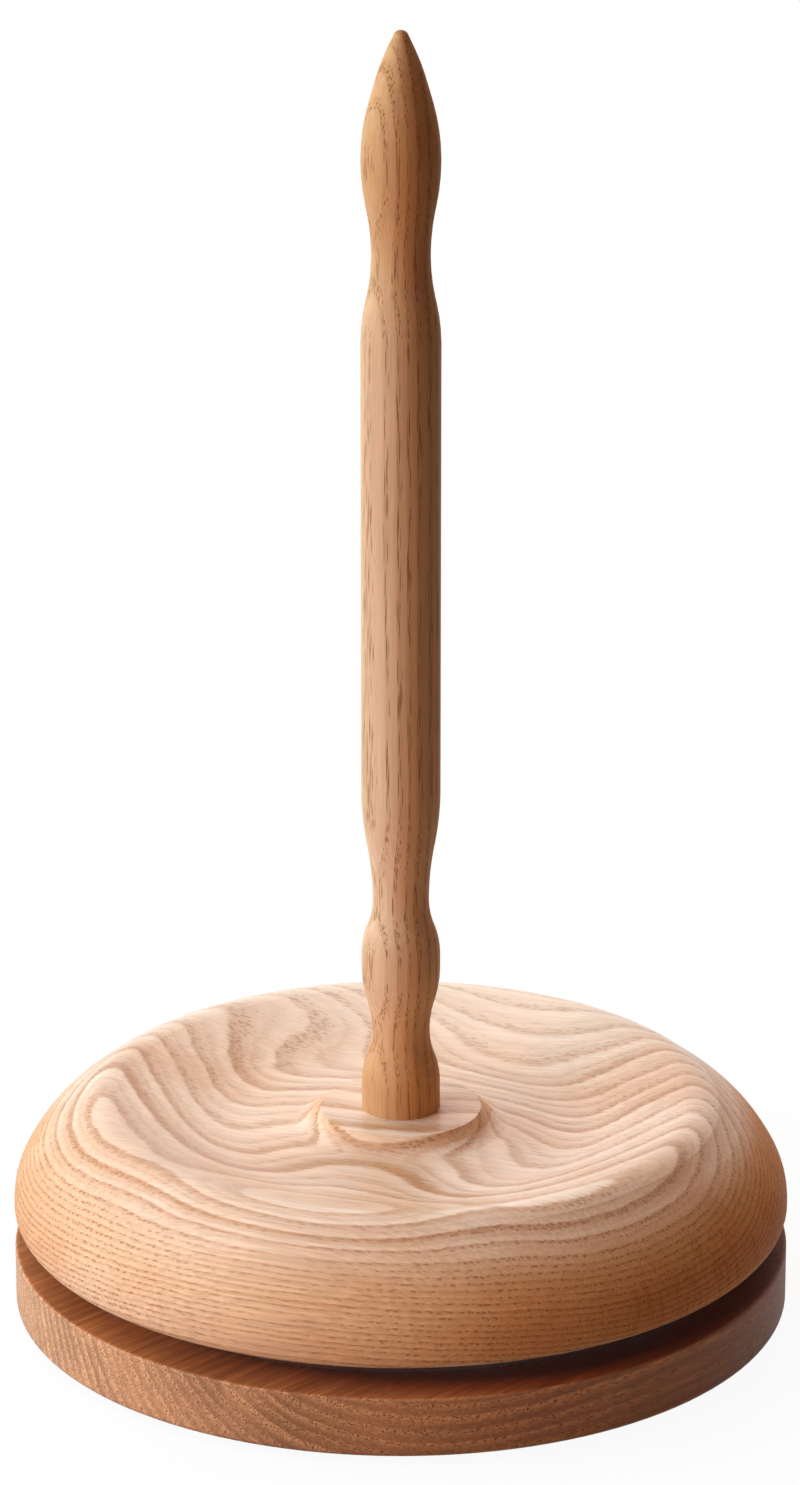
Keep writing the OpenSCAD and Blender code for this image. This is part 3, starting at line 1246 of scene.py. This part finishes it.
@dataclass(frozen=True)
class Lamp:
    """One soft box, in metres and watts, that gloss doesn't show."""

    title: str
    place: Triple
    aim: Triple
    width: float
    height: float
    power: float
    colour: Triple

    def build(self) -> None:
        """Hangs the lamp and points it at its aim."""
        data = bpy.data.lights.new(self.title, "AREA")
        data.shape = "RECTANGLE"
        data.size = self.width
        data.size_y = self.height
        data.energy = self.power
        data.color = self.colour
        lamp = bpy.data.objects.new(self.title, data)
        lamp.location = self.place
        towards = Vector(self.aim) - Vector(self.place)
        lamp.rotation_euler = towards.to_track_quat("-Z", "Y").to_euler()
        lamp.visible_glossy = False
        bpy.context.scene.collection.objects.link(lamp)


@dataclass
class Studio:
    """The pale floor, the soft light and the camera, in metres, with the lens in millimetres.

    Attributes:
        camera_pitch: How far the camera looks down, in degrees.
        floor_white, floor_bounce: The floor's colour to look at, and in the light that it throws back.
        floor_glow: The share of plain white in how the floor looks, which leaves the shadow faint.
        air: The colour of the light from all round.
    """

    camera_place: Triple = (-0.0002, -1.4115, 0.6459)
    camera_pitch: float = 19.78
    lens: float = 159.8
    sensor_width: float = 36.0
    clip_start: float = 0.01
    floor_size: float = 30.0
    floor_white: Triple = (0.95, 0.95, 0.95)
    floor_bounce: Triple = (0.36, 0.29, 0.25)
    floor_rough: float = 0.9
    floor_glow: float = 0.94
    air: Triple = (0.12, 0.042, 0.016)
    lamps: tuple[Lamp, ...] = (
        Lamp(
            "window_left", place=(-1.5, -0.2, 0.5), aim=(0.0, 0.0, 0.12),
            width=0.7, height=0.7, power=14.5, colour=(0.37, 0.73, 1.0),
        ),
        Lamp(
            "glow_front", place=(-1.15, -0.95, 0.6), aim=(0.0, 0.0, 0.12),
            width=0.6, height=0.6, power=4.0, colour=(1.0, 0.30, 0.08),
        ),
        Lamp(
            "near_left", place=(-0.38, -0.27, 0.21), aim=(0.0, 0.0, 0.12),
            width=0.3, height=0.45, power=0.9, colour=(1.0, 0.70, 0.54),
        ),
        Lamp(
            "sky_left", place=(-1.0, 0.2, 1.4), aim=(0.0, 0.0, 0.05),
            width=1.8, height=1.8, power=25.5, colour=(0.68, 0.94, 1.0),
        ),
        Lamp(
            "sky_back", place=(0.0, 0.9, 1.4), aim=(0.0, 0.0, 0.05),
            width=1.6, height=1.6, power=12.5, colour=(1.0, 0.70, 0.52),
        ),
        Lamp(
            "fill_back", place=(0.1, 1.5, 0.6), aim=(0.0, 0.0, 0.1),
            width=0.8, height=0.8, power=7.0, colour=(1.0, 0.92, 0.84),
        ),
    )

    def build_camera(self) -> None:
        """Sets the camera where the photograph was taken from."""
        data = bpy.data.cameras.new("camera")
        data.lens = self.lens
        data.sensor_width = self.sensor_width
        data.clip_start = self.clip_start
        camera = bpy.data.objects.new("camera", data)
        camera.location = self.camera_place
        camera.rotation_euler = (math.radians(90.0 - self.camera_pitch), 0.0, 0.0)
        bpy.context.scene.collection.objects.link(camera)
        bpy.context.scene.camera = camera

    def seen(self, graph: Graph) -> Socket:
        """Tells the rays that look at the background from the rays that carry light.

        Args:
            graph: The graph that asks.

        Returns:
            1 for a ray from the camera, a gloss or a glass, else 0.
        """
        rays = graph.add("ShaderNodeLightPath").outputs
        seen = graph.math("MAXIMUM", rays["Is Camera Ray"], rays["Is Glossy Ray"])
        return graph.math("MAXIMUM", seen, rays["Is Transmission Ray"])

    def floor_paper(self) -> bpy.types.Material:
        """Builds the floor's finish, which looks white and keeps the shadow.

        Returns:
            The material.
        """
        material, graph, shader = blank_material("floor_paper", self.floor_white)
        seen = self.seen(graph)
        graph.feed(shader.inputs["Base Color"], graph.mix(seen, self.floor_bounce, self.floor_white))
        shader.inputs["Roughness"].default_value = self.floor_rough
        shader.inputs["Specular IOR Level"].default_value = 0.0
        glow = graph.add("ShaderNodeEmission", {"Strength": 1.0}).outputs[0]
        feeds = {0: graph.product(seen, self.floor_glow), 1: shader.outputs[0], 2: glow}
        surface = graph.add("ShaderNodeMixShader", feeds).outputs[0]
        graph.feed(material.node_tree.nodes["Material Output"].inputs["Surface"], surface)
        return material

    def build_floor(self) -> None:
        """Lays the floor."""
        half = self.floor_size / 2
        mesh = bpy.data.meshes.new("floor")
        corners = [(-half, -half, 0.0), (half, -half, 0.0), (half, half, 0.0), (-half, half, 0.0)]
        mesh.from_pydata(corners, [], [(0, 1, 2, 3)])
        mesh.materials.append(self.floor_paper())
        floor = bpy.data.objects.new("floor", mesh)
        bpy.context.scene.collection.objects.link(floor)
        LOG.info("floor laid")

    def build_world(self) -> None:
        """Makes the air white to look at and dim as a light."""
        world = bpy.data.worlds.new("studio_air")
        bpy.context.scene.world = world
        world.use_nodes = True
        graph = Graph(world.node_tree)
        colour = graph.mix(self.seen(graph), self.air, WHITE)
        graph.feed(world.node_tree.nodes["Background"].inputs["Color"], colour)

    def build(self) -> None:
        """Sets up the whole studio."""
        self.build_camera()
        self.build_world()
        self.build_floor()
        for lamp in self.lamps:
            lamp.build()
        bpy.context.scene.view_settings.view_transform = "Standard"


def main() -> None:
    """Builds the studio and dresses the yarn holder, piece by piece."""
    logging.basicConfig(level=logging.INFO)
    Studio().build()
    Base().build()
    Bearing().build()
    Turntable().build()


if __name__ == "__main__":
    main()
